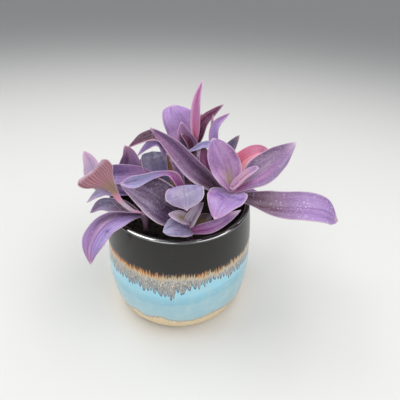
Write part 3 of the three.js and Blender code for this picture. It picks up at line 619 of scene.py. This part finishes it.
class Shape:
    """Points and faces gathered for one mesh, with each point's colour, place on the blade and finish."""

    def __init__(self):
        self.points = []
        self.faces = []
        self.slots = []
        self.fields = []
        self.count = 0

    def add(
        self, points, faces, slot=0, tones=(0.5, 0.5, 0.5), streaks=0.6, places=(0, 0, 0), finish=(0, 1, 0)
    ):
        points = np.asarray(points, float).reshape(-1, 3)
        faces = np.asarray(faces, int)
        self.points.append(points)
        self.faces.extend((faces + self.count).tolist())
        self.slots.extend(np.broadcast_to(slot, len(faces)).tolist())
        fields = ((tones, 3), (streaks, 1), (places, 3), (finish, 3))
        self.fields.append(np.hstack([np.broadcast_to(part, (len(points), wide)) for part, wide in fields]))
        self.count += len(points)

    def piece(self, name, materials, node):
        mesh = bpy.data.meshes.new(name)
        mesh.from_pydata((np.concatenate(self.points) * MM).tolist(), [], self.faces)
        for material in materials:
            mesh.materials.append(material)
        mesh.polygons.foreach_set("material_index", self.slots)
        mesh.polygons.foreach_set("use_smooth", [True] * len(self.faces))
        tones, places, finishes = np.split(np.concatenate(self.fields), [4, 7], axis=1)
        colour = mesh.attributes.new("tone", "FLOAT_COLOR", "POINT")
        colour.data.foreach_set("color", tones.ravel())
        for label, values in (("blade", places), ("finish", finishes)):
            field = mesh.attributes.new(label, "FLOAT_VECTOR", "POINT")
            field.data.foreach_set("vector", values.ravel())
        mesh.validate()
        made = add_object(name, mesh)
        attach(made, "root")
        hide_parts(node)


def grid_faces(rows, columns, closed=False):
    """Four-sided faces between the points of a grid that is listed row by row."""
    across = columns if closed else columns - 1
    row, column = np.meshgrid(np.arange(rows - 1), np.arange(across), indexing="ij")
    a = row * columns + column
    b = row * columns + (column + 1) % columns
    return np.stack([a, b, b + columns, a + columns], -1).reshape(-1, 4)


def unit(vectors):
    return vectors / np.maximum(np.linalg.norm(vectors, axis=-1, keepdims=True), 1e-9)


def run_along(points):
    """How far along a line of points each one lies."""
    return np.concatenate([[0], np.cumsum(np.linalg.norm(np.diff(points, axis=0), axis=1))])


def read(places, at, table):
    """A table's rows, read between them at the places given."""
    return np.stack([np.interp(places, at, column) for column in np.transpose(table)], -1)


def smooth_path(points, count):
    """Evenly spaced points along a smooth curve through the points given."""
    given = np.asarray(points, float)
    given = np.concatenate([[2 * given[0] - given[1]], given, [2 * given[-1] - given[-2]]])
    share = np.linspace(0, 1, CURVE_STEPS, endpoint=False)[:, None]
    pieces = []
    for a, b, c, d in zip(given, given[1:], given[2:], given[3:]):
        leave, arrive = (c - a) / 2, (d - b) / 2
        cubic = (2 * b - 2 * c + leave + arrive) * share**3
        pieces.append(cubic + (3 * c - 3 * b - 2 * leave - arrive) * share**2 + leave * share + b)
    dense = np.concatenate([*pieces, given[-2:-1]])
    run = run_along(dense)
    return read(np.linspace(0, run[-1], count), run, dense)


def rings(centres, radius, sides, across=(1, 0, 0), other=(0, 1, 0)):
    """A ring of points round each centre, in the plane of the directions across and other."""
    angle = 2 * math.pi * np.arange(sides)[:, None] / sides
    across, other = (np.asarray(way)[..., None, :] for way in (across, other))
    circle = across * np.cos(angle) + other * np.sin(angle)
    return np.asarray(centres)[:, None] + circle * np.reshape(radius, (-1, 1, 1))


def between(stops, places):
    """Values that run evenly through a list of stops as the place goes from 0 to 1."""
    stops = np.reshape(stops, (len(stops), -1))
    return read(places, np.linspace(0, 1, len(stops)), stops)


# Leaves


def outline_share(outline, place):
    """Half width share at each place along the midrib: a smooth curve through the outline's points."""
    at, share = np.array(OUTLINES[outline], float).T
    slope = np.diff(share) / np.diff(at)
    slopes = np.zeros(len(at))
    slopes[0] = slope[0]
    slopes[-1] = slope[-1] * TIP_BLUNTNESS
    for i, (before, after) in enumerate(zip(slope, slope[1:]), 1):
        if before * after > 0:
            slopes[i] = 2 * before * after / (before + after)
    i = np.clip(np.searchsorted(at, place, side="right") - 1, 0, len(at) - 2)
    span = at[i + 1] - at[i]
    t = (place - at[i]) / span
    ease = t * t * (3 - 2 * t)
    lift = t * (1 - t) * span * ((1 - t) * slopes[i] - t * slopes[i + 1])
    return share[i] + (share[i + 1] - share[i]) * ease + lift


def blade_places():
    """Places along the midrib from 0 to 1, and across the blade from -1 to 1, closer at the margins."""
    place = np.linspace(0, 1, BLADE_ROWS + 1)
    across = np.sin(np.linspace(-math.pi / 2, math.pi / 2, BLADE_COLUMNS + 1))
    return place, across


def numbered(across, along, number):
    """Where each point of a grid lies across and along its blade or stalk, and the number of its leaf."""
    v, u = np.meshgrid(across, along)
    return np.stack([v, u, np.full_like(u, number)], -1).reshape(-1, 3)


def blade_grid(one):
    """The blade's middle surface as rows of points from base to tip, and its normals."""
    place, across = blade_places()
    centre = smooth_path(one.midrib, BLADE_ROWS + 1)
    along = unit(np.gradient(centre, axis=0))
    look = between(unit(np.reshape(one.faces, (-1, 3))), place)
    side = unit(np.cross(along, look))
    normal = np.cross(side, along)
    half = np.maximum(TIP_HALF_WIDTH, one.width / 2 * outline_share(one.outline, place))[:, None]
    fold = np.radians(between(one.folds, place))
    rise = np.hypot(across, TROUGH_ROUNDING) - TROUGH_ROUNDING
    rise = rise / rise[-1]
    phase = np.where(across > 0, WAVE_SHIFT, 0)
    wave = np.sin(2 * math.pi * WAVES * place[:, None] + phase) * np.sin(math.pi * place)[:, None]
    lift = half * rise * np.sin(fold) + WAVE_HEIGHT * one.width * wave * across**2
    near_tip = np.clip((place[:, None] - NOTCH_START) / (1 - NOTCH_START), 0, 1)
    back = one.notch * (1 - np.abs(across)) * near_tip**2
    grid = centre[:, None] + side[:, None] * (half * across * np.cos(fold))[..., None]
    grid = grid + normal[:, None] * lift[..., None] - along[:, None] * back[..., None]
    down = np.gradient(grid, axis=0)
    right = np.gradient(grid, axis=1)
    return grid, unit(np.cross(right, down))


def blade_tones(names, marks=()):
    """The blade's colours from base to tip, with stains, painted shade and painted highlights where marks
    say.
    """
    place, across = blade_places()
    tones = between([linear(TONES[name]) for name in names], place)
    tones = np.repeat(tones[:, None], len(across), axis=1)
    for at, side, length, width, name, strength in marks:
        away = ((place[:, None] - at) / length) ** 2 + ((across - side) / width) ** 2
        share = (strength * np.exp(-away))[..., None]
        tones = tones * (1 - share) + share * linear(TONES[name])
    return tones.reshape(-1, 3)


def add_blade(shape, one, number):
    grid, normal = blade_grid(one)
    place, across = blade_places()
    rows, columns = grid.shape[:2]
    thickness = MARGIN_THICKNESS + (BLADE_THICKNESS - MARGIN_THICKNESS) * (1 - across**4)
    offset = normal * (thickness / 2)[:, None]
    faces = grid_faces(rows, columns)
    under = rows * columns
    index = np.arange(under).reshape(rows, columns)
    edge = np.concatenate([index[0], index[1:, -1], index[-1, -2::-1], index[-2:0:-1, 0]])
    after = np.roll(edge, -1)
    rim = np.stack([edge, edge + under, after + under, after], 1)
    shape.add(
        np.concatenate([(grid + offset).reshape(-1, 3), (grid - offset).reshape(-1, 3)]),
        np.concatenate([faces, faces[:, ::-1] + under, rim]),
        slot=BLADE,
        tones=np.concatenate([blade_tones(one.tones, one.marks), blade_tones(one.under)]),
        places=np.concatenate([numbered(across, place, number), numbered(across, place, number + 0.5)]),
        streaks=one.streaks,
        finish=(one.dust, one.bloom, one.veins),
    )
    return grid, normal


def add_hairs(shape, grid, normal, chance):
    """Short pale hairs along both margins, longer and closer near the base."""
    roots, tips = [], []
    for column, inner in ((0, 2), (-1, -3)):
        margin = grid[:, column]
        side = unit(margin - grid[:, inner])
        run = run_along(margin)
        spot = HAIR_START
        while spot < HAIR_END * run[-1]:
            root = read(spot, run, margin)
            row = int(np.searchsorted(run, spot)) - 1
            base = 1 - spot / run[-1]
            lean = side[row] + normal[row, column] * chance.uniform(-HAIR_LEAN, HAIR_LEAN)
            lean = lean + np.array([chance.uniform(-HAIR_STRAY, HAIR_STRAY) for _ in range(3)])
            roots.append(root - side[row] * HAIR_SINK)
            length = HAIR_LENGTH * (HAIR_TIP_SHARE + (1 - HAIR_TIP_SHARE) * base)
            tips.append(root + unit(lean) * length * chance.uniform(*HAIR_LENGTHS))
            spot += HAIR_SPACING * chance.uniform(*HAIR_GAPS) * (HAIR_SPREAD - base)
    add_spikes(shape, np.array(roots), np.array(tips))


def add_spikes(shape, roots, tips):
    """Three-sided spikes from roots to tips."""
    along = unit(tips - roots)
    across = unit(np.cross(along, (0.3, 0.2, 1.0)))
    other = np.cross(along, across)
    points = np.concatenate([rings(roots, HAIR_RADIUS, 3, across, other), tips[:, None]], 1)
    first = np.arange(len(roots)) * 4
    faces = [(a + i, a + (i + 1) % 3, a + 3) for a in first for i in range(3)]
    shape.add(points, faces, HAIR, linear(HAIR_TONE))


# Stems


def add_tube(shape, path, radius, codes, number):
    """Rings of points along a path, in colours that run from its start to its end."""
    along = unit(np.gradient(path, axis=0))
    across = unit(np.cross((0.0, 1.0, 0.0), along))
    points = rings(path, radius, STEM_SIDES, across, np.cross(along, across))
    share = np.linspace(0, 1, len(path))
    tones = between([linear(code) for code in codes], share)
    turns = np.arange(STEM_SIDES) / STEM_SIDES * 2 - 1
    shape.add(
        points,
        grid_faces(len(path), STEM_SIDES, closed=True),
        STALK,
        np.repeat(tones, STEM_SIDES, axis=0),
        places=numbered(turns, share, number),
    )
    return points


def add_stem(shape, one, number):
    x, y = one.route[0][:2]
    steps = round(run_along(smooth_path(one.route, CURVE_STEPS))[-1] / STEM_STEP)
    path = np.concatenate([[(x, y, SOIL_LEVEL - ROOT_DEPTH)], smooth_path(one.route, steps)])
    radius = STEM_RADIUS * (1 - (1 - STEM_TAPER) * np.linspace(0, 1, len(path)))
    for grown in one.leaves:
        away = np.linalg.norm(path - grown.midrib[0], axis=1)
        radius = np.maximum(radius, NODE_RADIUS * np.exp(-((away / NODE_REACH) ** 2)))
    points = add_tube(shape, path, radius, STEM_TONES, number)
    shape.add(points[-1], [range(STEM_SIDES)], STALK, linear(STEM_TONES[-1]))
    for grown in one.leaves:
        add_sheath(shape, path, grown, number)


def add_sheath(shape, path, one, number):
    """The leaf's base wraps the stem as a short open sleeve that ends at the leaf's joint."""
    away = np.linalg.norm(path - one.midrib[0], axis=1)
    end = int(np.argmin(away))
    start = max(1, end - round(SHEATH_LENGTH / STEM_STEP))
    if end - start < SHEATH_ROWS:
        return
    share = np.linspace(0, 1, end - start + 1)
    radius = STEM_RADIUS * (SHEATH_FIT + SHEATH_SWELL * share + SHEATH_FLARE * share**4)
    add_tube(shape, path[start : end + 1], radius, SHEATH_TONES, number + 0.3)


# Finishes of the plant


def blade_colour(graph):
    """The blade's colour, with lengthwise streaks, bloom, veins, pale margin, dust, painted midrib shade, and
    its relief.
    """
    across, along, number = graph.parts(graph.attribute("blade"))
    dust, bloom, veins = graph.parts(graph.attribute("finish"))
    tone = graph.attribute("tone", "Color")
    streaks = graph.attribute("tone", "Alpha")
    place = graph.position()
    lane = graph.scaled(number, LEAF_STEP)
    fine = graph.noise(graph.vector(graph.scaled(across, FINE_STREAKS), graph.scaled(along, 1.6), lane), 1, 3)
    broad = graph.noise(graph.vector(graph.scaled(across, BROAD_STREAKS), graph.scaled(along, 2), lane), 1, 2)
    shade = graph.mix(1.0, tone, "8C7890", "MULTIPLY")
    colour = graph.tint(tone, shade, fine, 0.35, 0.7, streaks)
    colour = graph.tint(colour, shade, broad, 0.48, 0.25, 0.4)
    pale = graph.mix(0.4, colour, "DCC8E6")
    colour = graph.tint(colour, pale, broad, 0.4, 0.75, graph.scaled(bloom, 0.5))
    colour = graph.tint(colour, pale, graph.noise(place, 0.5, 5, 0.7), 0.45, 0.75, graph.scaled(bloom, 0.6))
    grain = graph.noise(place, 2.6, 3, 0.6)
    colour = graph.tint(colour, shade, grain, 0.45, 0.62, 0.3)

    reach = graph.math("ABSOLUTE", across)
    # Painted shade: the colour darkens towards the shade tone along the midrib's crease, where the relief
    # also sinks
    groove = graph.ease(reach, 0.06, 0.0)
    colour = graph.mix(graph.scaled(groove, 0.3), colour, shade)
    spoke = graph.math("ABSOLUTE", graph.math("SINE", graph.scaled(across, VEIN_TURNS)))
    fanned = graph.math("MULTIPLY", veins, graph.ease(along, 0.45, 0.65))
    colour = graph.tint(colour, "4A2834", spoke, 0.96, 1.0, fanned)
    wander = graph.scaled(graph.noise(place, 0.8, 2), 0.04, -0.02)
    edge = graph.math("MAXIMUM", reach, graph.scaled(along, 0.95, 0.04))
    colour = graph.tint(colour, "DCC0D2", graph.total(edge, wander), 0.93, 0.985, 0.6)
    colour = dusted(graph, colour, place, dust)
    relief = graph.total(graph.scaled(fine, 0.8), graph.scaled(groove, -0.45), graph.scaled(grain, 0.35))
    return colour, relief


def dusted(graph, colour, place, dust):
    """Small pale specks of dust and hard water, as strong as the finish says, and finer ones everywhere."""
    strength = graph.math("MULTIPLY", dust, graph.ease(graph.noise(place, 0.11, 2), 0.42, 0.62))
    colour = graph.tint(colour, "EEE6F4", graph.specks(place, 0.5), 0.26, 0.12, strength)
    return graph.tint(colour, "E6DCE8", graph.specks(place, 0.24), 0.09, 0.04, 0.8)


def leaf_material(name, cloud, smooth, depth, strength):
    """The finish of blades or stalks. Cloud is the scale of dull patches, and smooth the least roughness."""
    graph = Graph(name)
    colour, relief = blade_colour(graph)
    rough = graph.ease(graph.noise(graph.position(), cloud, 3), 0.3, 0.7, smooth, 0.5)
    graph.surface(colour, rough, graph.bump(relief, depth, strength), specular=0.4)
    return graph.material


def hair_material():
    graph = Graph("leaf_hair")
    shade = graph.noise(graph.position(), 1.5, 1.0)
    graph.surface(graph.ramp(shade, [(0.3, "D8C0D0"), (0.7, "F0E4EC")]), 0.5)
    return graph.material


def make_plant():
    blades = leaf_material("leaf_blade", 0.3, 0.34, 0.2, 0.7)
    stalks = leaf_material("leaf_stalk", 0.5, 0.36, 0.15, 0.6)
    materials = [blades, stalks, hair_material()]
    chance = random.Random(HAIR_SEED)
    number = 0
    for name, one in STEMS.items():
        shape = Shape()
        add_stem(shape, one, number)
        for grown in one.leaves:
            number += 1
            grid, normal = add_blade(shape, grown, number)
            add_hairs(shape, grid, normal, chance)
        shape.piece("foliage_" + name, materials, "leafy_stem_" + name)


# Pot


def outer_radius(z):
    if z < BELLY_HEIGHT:
        down = (BELLY_HEIGHT - z) / BELLY_HEIGHT
        return FOOT_RADIUS + (BELLY_RADIUS - FOOT_RADIUS) * math.sqrt(1 - down * down)
    up = (z - BELLY_HEIGHT) / (POT_HEIGHT - BELLY_HEIGHT)
    return BELLY_RADIUS - (BELLY_RADIUS - RIM_RADIUS) * up * up


def inner_radius(z):
    return outer_radius(z) - WALL


def wall_profile(radius_at, bottom, top):
    turns = np.linspace(0, math.pi / 2, BELLY_ROWS)
    low = [bottom + (BELLY_HEIGHT - bottom) * (1 - math.cos(turn)) for turn in turns]
    high = np.linspace(BELLY_HEIGHT, top, WALL_ROWS)[1:]
    return [(radius_at(z), z) for z in [*low, *high]]


def make_pot():
    lip_start = POT_HEIGHT - LIP_RISE
    lip_centre = outer_radius(lip_start) - WALL / 2
    turns = np.linspace(0, math.pi, LIP_ROWS)[1:-1]
    lip = [(lip_centre + WALL / 2 * math.cos(a), lip_start + LIP_RISE * math.sin(a)) for a in turns]
    outside = wall_profile(outer_radius, 0, lip_start)
    inside = wall_profile(inner_radius, FLOOR, lip_start)[::-1]
    under = [(FOOT_RADIUS * share, 0) for share in FOOT_RINGS]
    over = [(inside[-1][0] * share, FLOOR) for share in FLOOR_RINGS]
    profile = np.array([*under, *outside, *lip, *inside, *over])
    row_slots = [int(z > POT_HEIGHT - 2 * LIP_RISE) for _, z in profile]
    points = rings(profile[:, 1:] * (0, 0, 1), profile[:, 0], POT_SIDES)
    faces = grid_faces(len(profile), POT_SIDES, closed=True)
    shape = Shape()
    shape.add(points, faces, slot=np.repeat(row_slots[:-1], POT_SIDES))
    glazes = [pot_material("stoneware_glaze", 1.5, 0.27), pot_material("stoneware_lip", 3.3, 0.13)]
    shape.piece("stoneware_pot", glazes, "pot")


def glaze_height(graph, turn, line):
    """The height of a glaze line in millimetres at each turn round the pot."""
    shares = [((angle + 180) / 360, height / TALLEST_LINE) for angle, height in line]
    return graph.scaled(graph.curve(turn, shares), TALLEST_LINE)


def blue_colours(graph, place, over_wave):
    """The sky-blue glaze, brighter over its wavy line, with a darker seam along it and pale specks."""
    blue = graph.tint("A6CED9", "96CDDF", over_wave, -5.0, 2.0)
    blue = graph.tint(blue, "90C0D0", graph.math("ABSOLUTE", over_wave), 2.2, 0.0, 0.5)
    blue = graph.tint(blue, "A4DEF0", over_wave, 3.0, 10.0)
    blue = graph.tint(blue, "C0DCE0", graph.noise(place, 0.12, 4, 0.6), 0.4, 0.7, 0.4)
    return graph.tint(blue, "DEEEEC", graph.specks(place, 0.42), 0.16, 0.05, 0.5)


def drip_tips(graph, place, turn, streak, waver):
    """The height in millimetres of the lower edge of the lilac glaze, which ends in rounded drips."""
    wander = graph.noise(graph.stretch(place, 0.3, 0.3, 0.0), 1, 1)
    finger = graph.total(graph.scaled(turn, DRIP_COUNT), graph.scaled(waver, 4), wander)
    middle = graph.math("SUBTRACT", graph.math("FRACT", finger), 0.5)
    chance = graph.node("TexWhiteNoise", 0, {"W": graph.math("FLOOR", finger)}, noise_dimensions="1D")
    scatter = graph.scaled(chance, DRIP_SCATTER, -0.4)
    notch = graph.scaled(graph.math("MULTIPLY", middle, middle), 4 * DRIP_NOTCH)
    return graph.total(glaze_height(graph, turn, DRIP_LINE), scatter, notch, graph.scaled(streak, 3, -1.5))


def drip_colours(graph, place, streak, over_tips):
    """The speckled lilac glaze between the fringe and the tips of the drips, greyer towards the tips."""
    cell = graph.noise(graph.stretch(place, 1.7, 1.7, 0.8), 1, 3, 0.75)
    needle = graph.noise(graph.stretch(place, 2.2, 2.2, 0.22), 1, 2)
    grain = graph.blend(0.4, cell, needle)
    colour = graph.ramp(grain, [(0.38, "4C5660"), (0.46, "8A9096"), (0.53, "C6BEAE"), (0.61, "EEE2CA")])
    colour = graph.tint(colour, "8790A2", over_tips, 9.0, 2.0, 0.35)
    return graph.tint(colour, "7C8490", streak, 0.5, 0.66, 0.45)


def fringe_colours(graph, place, angle, streak, below_line):
    """The rusty streaks where the dark glaze runs out over the lilac one, strongest at the front's left."""
    warm = graph.total(
        graph.noise(graph.stretch(place, 0.09, 0.09, 0.02), 1, 2),
        graph.ease(angle, -0.1, -0.45, -0.12, 0.2),
        graph.ease(angle, 0.25, 0.7, 0.0, 0.05),
    )
    run = graph.ease(graph.total(below_line, graph.scaled(streak, 12, -6)), -3.0, 9.5)
    rusty = graph.ramp(run, [
        (0, "2C2320"), (0.16, "6A4022"), (0.34, "B4692C"), (0.55, "D29C5E"), (0.75, "D6C2A0"), (1, "B4AFAA"),
    ])
    ashen = graph.ramp(run, [
        (0, "2C2826"), (0.2, "4C3C32"), (0.36, "8E7252"), (0.52, "CEB892"), (0.75, "CCC4B2"), (1, "ACA9A6"),
    ])
    return graph.tint(ashen, rusty, warm, 0.42, 0.56)


def clay_colours(graph, place):
    """The bare sandy clay at the foot."""
    clay = graph.ramp(graph.noise(place, 0.8, 5, 0.7), [(0.3, "D2B890"), (0.5, "EED8B0"), (0.7, "FAECCC")])
    return graph.tint(clay, "8C7050", graph.specks(place, 0.9), 0.16, 0.08, 0.5)


def pot_material(name, gloss, sheen):
    """The glazes of the pot. Gloss is the index of refraction, which is higher on the lip, where glaze pools.
    Sheen is the roughness of the dark glaze."""
    graph = Graph(name)
    graph.shader.inputs["IOR"].default_value = gloss
    place = graph.position()
    x, y, z = graph.parts(place)
    angle = graph.math("ARCTAN2", x, graph.scaled(y, -1))
    turn = graph.scaled(angle, 1 / (2 * math.pi), 0.5)
    streak = graph.noise(graph.stretch(place, 1.0, 1.0, 0.1), 1, 2, 0.6)
    other_streak = graph.noise(graph.stretch(place, 0.8, 0.8, 0.09), 1.3, 2, 0.6)
    waver = graph.noise(graph.stretch(place, 0.05, 0.05, 0.0), 1, 1)

    wave = graph.total(glaze_height(graph, turn, WAVE_LINE), graph.scaled(waver, 4, -2))
    blue = blue_colours(graph, place, graph.math("SUBTRACT", z, wave))
    over_tips = graph.math("SUBTRACT", z, drip_tips(graph, place, turn, streak, waver))
    dripped = graph.ease(over_tips, -0.5, 0.5)
    body = graph.mix(dripped, blue, drip_colours(graph, place, streak, over_tips))
    from_rim = graph.math("ABSOLUTE", graph.scaled(over_tips, 1, -0.5))
    body = graph.tint(body, "56637C", from_rim, 1.3, 0.3, 0.85)

    teeth = graph.ease(streak, 0.3, 0.7, FRINGE_HEIGHT - FRINGE_TEETH / 2, FRINGE_HEIGHT + FRINGE_TEETH / 2)
    line = graph.total(teeth, graph.scaled(waver, 3, -1.5))
    below_line = graph.math("SUBTRACT", line, z)
    fringe = fringe_colours(graph, place, angle, other_streak, below_line)
    body = graph.tint(body, fringe, below_line, 9.0, 5.5)
    charcoal = graph.ramp(graph.noise(place, 0.5, 4, 0.6), [(0.3, "131110"), (0.7, "1E1B1A")])
    charcoal = graph.tint(charcoal, "9A9490", graph.specks(place, 0.3), 0.08, 0.03, 0.7)
    dark = graph.ease(below_line, 0.6, -0.6)
    body = graph.mix(dark, body, charcoal)

    ragged = graph.scaled(graph.noise(place, 0.5, 3, 0.7), 8, -4)
    below_foot = graph.math("SUBTRACT", graph.total(glaze_height(graph, turn, FOOT_LINE), ragged), z)
    seam = graph.ramp(graph.noise(place, 0.9, 4, 0.7), [(0.35, "A89686"), (0.5, "BEB2A2"), (0.65, "ACB6B8")])
    body = graph.tint(body, seam, below_foot, -3.5, -1.0, 0.85)
    bare = graph.ease(below_foot, -0.3, 1.2)
    body = graph.mix(bare, body, clay_colours(graph, place))

    radius = graph.node("VectorMath", "Value", {0: graph.stretch(place, 1, 1, 0)}, operation="LENGTH")
    body = graph.tint(body, charcoal, radius, RIM_RADIUS - 4, RIM_RADIUS - 5.5, graph.ease(z, 2, 4))

    rough = graph.blend(bare, graph.blend(dark, 0.16, sheen), 0.8)
    grit = graph.noise(place, 1.6, 4, 0.7)
    pits = graph.ease(graph.specks(place, 0.33), 0.04, 0.12)
    relief = graph.total(
        graph.scaled(pits, 0.08),
        graph.scaled(grit, 0.1),
        graph.scaled(dripped, 0.5),
        graph.scaled(dark, 0.5),
        graph.math("MULTIPLY", bare, graph.scaled(grit, -0.5, -0.5)),
    )
    graph.surface(body, rough, graph.bump(relief, 0.3, 0.6))
    return graph.material


# Soil


def soil_height(x, y):
    """The model's gentle mounds."""
    mound = 2 * np.sin(x / LUMP_WIDTH) * np.cos(y / LUMP_WIDTH) + np.sin((x - y) / CRUMB_WIDTH)
    return SOIL_LEVEL + SOIL_RELIEF * mound / 3


def soil_material():
    graph = Graph("potting_soil")
    place = graph.position()
    base = graph.noise(place, 0.45, 6.0, 0.7)
    colour = graph.ramp(base, [(0.3, "0E0B09"), (0.5, "1C1612"), (0.68, "2E251E")])
    fibre = graph.noise(graph.stretch(place, 0.4, 2.2, 1.0), 1.0, 2.0)
    colour = graph.tint(colour, "54402E", fibre, 0.66, 0.72, 0.7)
    rough = graph.ease(base, 0.3, 0.7, 0.95, 0.8)
    graph.surface(colour, rough, graph.bump(graph.noise(place, 1.4, 5.0, 0.8), 1.2), specular=0.25)
    return graph.material


def make_soil():
    reach = inner_radius(SOIL_LEVEL) - SOIL_GAP
    circles = round(reach / SOIL_STEP)
    sides = round(math.pi * reach / SOIL_STEP)
    radius = np.linspace(SOIL_CENTRE, reach, circles)
    x, y, _ = np.moveaxis(rings([(0, 0, 0)], radius, sides), -1, 0)
    spots = [Vector((a, b, 0)) / CRUMB_WIDTH for a, b in zip(x.ravel(), y.ravel())]
    crumb = np.array([noise.fractal(spot, *RELIEF_NOISE) for spot in spots]).reshape(x.shape)
    z = soil_height(x, y) + CRUMB_HEIGHT * crumb
    shape = Shape()
    shape.add(np.stack([x, y, z], -1), grid_faces(circles, sides, closed=True)[:, ::-1])
    chance = random.Random(CRUMB_SEED)
    for _ in range(SOIL_CRUMBS):
        away = CRUMB_REACH * reach * math.sqrt(chance.random())
        turn = chance.uniform(0, 2 * math.pi)
        size = chance.choice(CRUMB_SIZES)
        add_crumb(shape, away * math.cos(turn), away * math.sin(turn), size, chance)
    shape.piece("soil_surface", [soil_material()], "soil")


def add_crumb(shape, x, y, size, chance):
    """A small rough grain of eight faces, half sunk in the surface."""
    ends = [(0, 0, 1), (1, 0, 0), (0, 1, 0), (-1, 0, 0), (0, -1, 0), (0, 0, -1)]
    centre = np.array([x, y, float(soil_height(x, y)) + CRUMB_LIFT * size])
    points = [centre + np.array(end) * size * chance.uniform(*CRUMB_STRETCH) for end in ends]
    sides = [(1, 2), (2, 3), (3, 4), (4, 1)]
    shape.add(points, [(0, a, b) for a, b in sides] + [(5, b, a) for a, b in sides])


bpy.context.scene.view_settings.view_transform = "Standard"
make_camera()
make_light()
make_floor()
make_pot()
make_soil()
make_plant()
